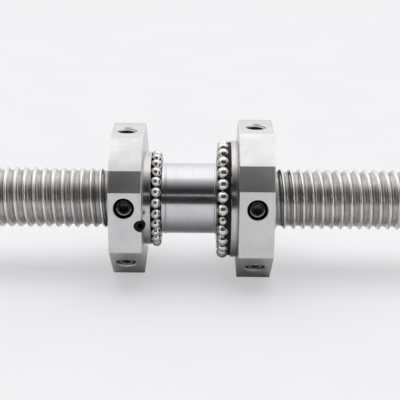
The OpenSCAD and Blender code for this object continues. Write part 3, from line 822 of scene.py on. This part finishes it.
CAMERA_DISTANCE = 0.267
CAMERA_ELEVATION = math.radians(20.75)
CAMERA_YAW = math.radians(0.3)
CAMERA_ROLL = math.radians(0.39)
CAMERA_TARGET = Vector((2.5, 0.0, -0.5)) * MM
LENS = 90.0
SENSOR = 36.0


def make_camera():
    """Long lens, above the object, looking down on it."""
    data = bpy.data.cameras.new("camera")
    data.lens = LENS
    data.sensor_width = SENSOR
    data.clip_start = 0.01
    data.clip_end = 20.0
    camera = bpy.data.objects.new("camera", data)
    bpy.context.scene.collection.objects.link(camera)
    flat = math.cos(CAMERA_ELEVATION)
    away = Vector((math.sin(CAMERA_YAW) * flat, -math.cos(CAMERA_YAW) * flat, math.sin(CAMERA_ELEVATION)))
    turn = (-away).to_track_quat("-Z", "Y").to_matrix() @ Matrix.Rotation(CAMERA_ROLL, 3, "Z")
    camera.matrix_world = Matrix.Translation(CAMERA_TARGET + away * CAMERA_DISTANCE) @ turn.to_4x4()
    bpy.context.scene.camera = camera


# The studio by direction: rise over the front in degrees, and lean to the side as the X of the direction.
# Ramps of light: from, to, and the value at each
SOFTBOX_RAMP = (115.0, 180.0, 1.48, 0.95)
SIDEWAYS_RAMP = (0.55, 0.95, 1.0, 0.55)
LOW_SIDE_RAMP = (0.7, 0.9, 0.62, 0.3)
# Bands: where each starts and stops, and the width of its soft edge
GAP_RISE, GAP_LEAN = (0.3, 92.0, 1.8), (-0.72, 0.56, 0.04)
STRIP_RISE, STRIP_LEAN = (28.4, 31.0, 0.8), (-0.2, 0.2, 0.06)
LOW_SIDE_RISE, LOW_SIDE_LEAN = (-10.0, 60.0, 8.0), (0.68, 0.99, 0.04)
LOW_SIDE_SHIFT = 0.08
KEY_RISE, KEY_LEAN = (12.0, 36.0, 3.0), (0.63, 0.79, 0.03)
KEY_LIGHT = 2.6
GAP_LIGHT = 0.03
STRIP_LIGHT = 1.0
BACKDROP_LIGHT = 0.9
# Above CLIMB_START the gap brightens with the square of the rise, by CLIMB_LIGHT over CLIMB_LENGTH degrees
CLIMB_START, CLIMB_LENGTH, CLIMB_LIGHT = 44.0, 48.0, 1.4


def make_world():
    """Soft studio: a white overhead and back, a dark gap in front, and one key light to the right of it."""
    world = bpy.data.worlds.new("studio")
    world.use_nodes = True
    bpy.context.scene.world = world
    n = Nodes(world.node_tree)
    direction = n.tree.nodes.new("ShaderNodeTexCoord").outputs["Generated"]
    split = n.add("ShaderNodeSeparateXYZ", Vector=direction)
    x, y, z = (split.outputs[i] for i in range(3))
    rise = n.math("DEGREES", n.math("ARCTAN2", z, n.math("MULTIPLY", y, -1.0)))

    sides = n.ramp(n.math("ABSOLUTE", x), *SIDEWAYS_RAMP)
    softbox = n.math("MULTIPLY", sides, n.ramp(rise, *SOFTBOX_RAMP))
    gap = n.math("MULTIPLY", n.band(rise, *GAP_RISE), n.band(x, *GAP_LEAN))
    strip = n.math("MULTIPLY", n.band(rise, *STRIP_RISE), n.band(x, *STRIP_LEAN))
    climb = n.math("DIVIDE", n.math("MAXIMUM", n.math("SUBTRACT", rise, CLIMB_START), 0.0), CLIMB_LENGTH)
    fade = n.math("MULTIPLY", n.math("MULTIPLY", climb, climb), CLIMB_LIGHT)
    dark = n.math("ADD", n.math("ADD", fade, GAP_LIGHT), n.math("MULTIPLY", strip, STRIP_LIGHT))
    light = n.blend(gap, softbox, dark)
    wide = n.math("ABSOLUTE", n.math("ADD", x, LOW_SIDE_SHIFT))
    low_side = n.math("MULTIPLY", n.band(rise, *LOW_SIDE_RISE), n.band(wide, *LOW_SIDE_LEAN))
    light = n.blend(low_side, light, n.ramp(wide, *LOW_SIDE_RAMP))
    key = n.math("MULTIPLY", n.band(rise, *KEY_RISE), n.band(x, *KEY_LEAN))
    light = n.blend(key, light, KEY_LIGHT)
    seen = n.tree.nodes.new("ShaderNodeLightPath").outputs["Is Camera Ray"]
    light = n.blend(seen, light, BACKDROP_LIGHT)
    background = n.add("ShaderNodeBackground", Color=(1.0, 1.0, 1.0, 1.0), Strength=light)
    output = n.tree.nodes.new("ShaderNodeOutputWorld")
    n.tree.links.new(background.outputs[0], output.inputs["Surface"])


# How much of the light the floor sends back where it is seen in metal, and where it is seen itself. There it
# glows as well, so that its shadows stay light
FLOOR_WHITE = 0.66
FLOOR_SHADE = 0.33
FLOOR_GLOW = 0.46


def make_overhead():
    """Lamp above and a little behind, for the floor's soft shadow. Metal reflects the studio instead."""
    data = bpy.data.lights.new("overhead", "AREA")
    data.shape = "SQUARE"
    data.size = 1.3
    data.energy = 11.0
    lamp = bpy.data.objects.new("overhead", data)
    bpy.context.scene.collection.objects.link(lamp)
    lamp.location = (0.0, 0.15, 1.4)
    lamp.visible_glossy = False
    lamp.visible_camera = False


def make_floor():
    """Large pale floor that the larger housing stands on."""
    low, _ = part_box("right_housing")
    half = 2.0
    mesh = bpy.data.meshes.new("floor")
    corners = [(-half, -half, low.z), (half, -half, low.z), (half, half, low.z), (-half, half, low.z)]
    mesh.from_pydata(corners, [], [(0, 1, 2, 3)])
    floor = bpy.data.objects.new("floor", mesh)
    bpy.context.scene.collection.objects.link(floor)
    material, n = new_material("floor")
    seen = n.tree.nodes.new("ShaderNodeLightPath").outputs["Is Camera Ray"]
    grain = n.ramp(n.noise(even(40.0), 3.0), *NOISE_SPAN, 0.985, 1.015)
    grey = n.math("MULTIPLY", n.blend(seen, FLOOR_WHITE, FLOOR_SHADE), grain)
    base = n.colour(grey, (0.0, 0.0, 0.0, 1.0), (1.0, 1.0, 1.02, 1.0))
    shader = n.add("ShaderNodeBsdfPrincipled", Base_Color=base, Roughness=0.7)
    shader.inputs["Specular IOR Level"].default_value = 0.0
    shader.inputs["Emission Color"].default_value = (0.99, 0.995, 1.02, 1.0)
    n.feed(shader.inputs["Emission Strength"], n.math("MULTIPLY", seen, FLOOR_GLOW))
    n.surface(shader)
    mesh.materials.append(material)


def dress_cad_pieces():
    """Materials on the CAD pieces that show as they are."""
    for part in frame["record"]["subparts"]:
        data = frame["nodes"][part["node"]].data
        data.materials.clear()
        data.materials.append(MATERIALS[part["material_slot"]])


dress_cad_pieces()
screw_shaft()
nut_sleeve()
for row, body in (("left_support_balls", "left_ball_row"), ("right_support_balls", "right_ball_row"),
                  ("right_spacer_ball", "right_ball_row")):
    ball_row(row, body)
left_race_cup()
right_race_cup()
wiper("left_wiper", "left_unit", False)
wiper("right_wiper", "right_unit", True)
housing("left", LEFT_CORNERS, LEFT_BORE_R, LEFT_CLIP_X, LEFT_ENDS)
housing("right", RIGHT_CORNERS, RIGHT_BORE_R, RIGHT_CLIP_X, RIGHT_ENDS)
set_screws("left", LEFT_CORNERS, LEFT_START, LEFT_ENDS)
set_screws("right", RIGHT_CORNERS, RIGHT_START, RIGHT_ENDS)
lock_screw()

bpy.context.scene.view_settings.view_transform = "Standard"
make_camera()
make_world()
make_overhead()
make_floor()
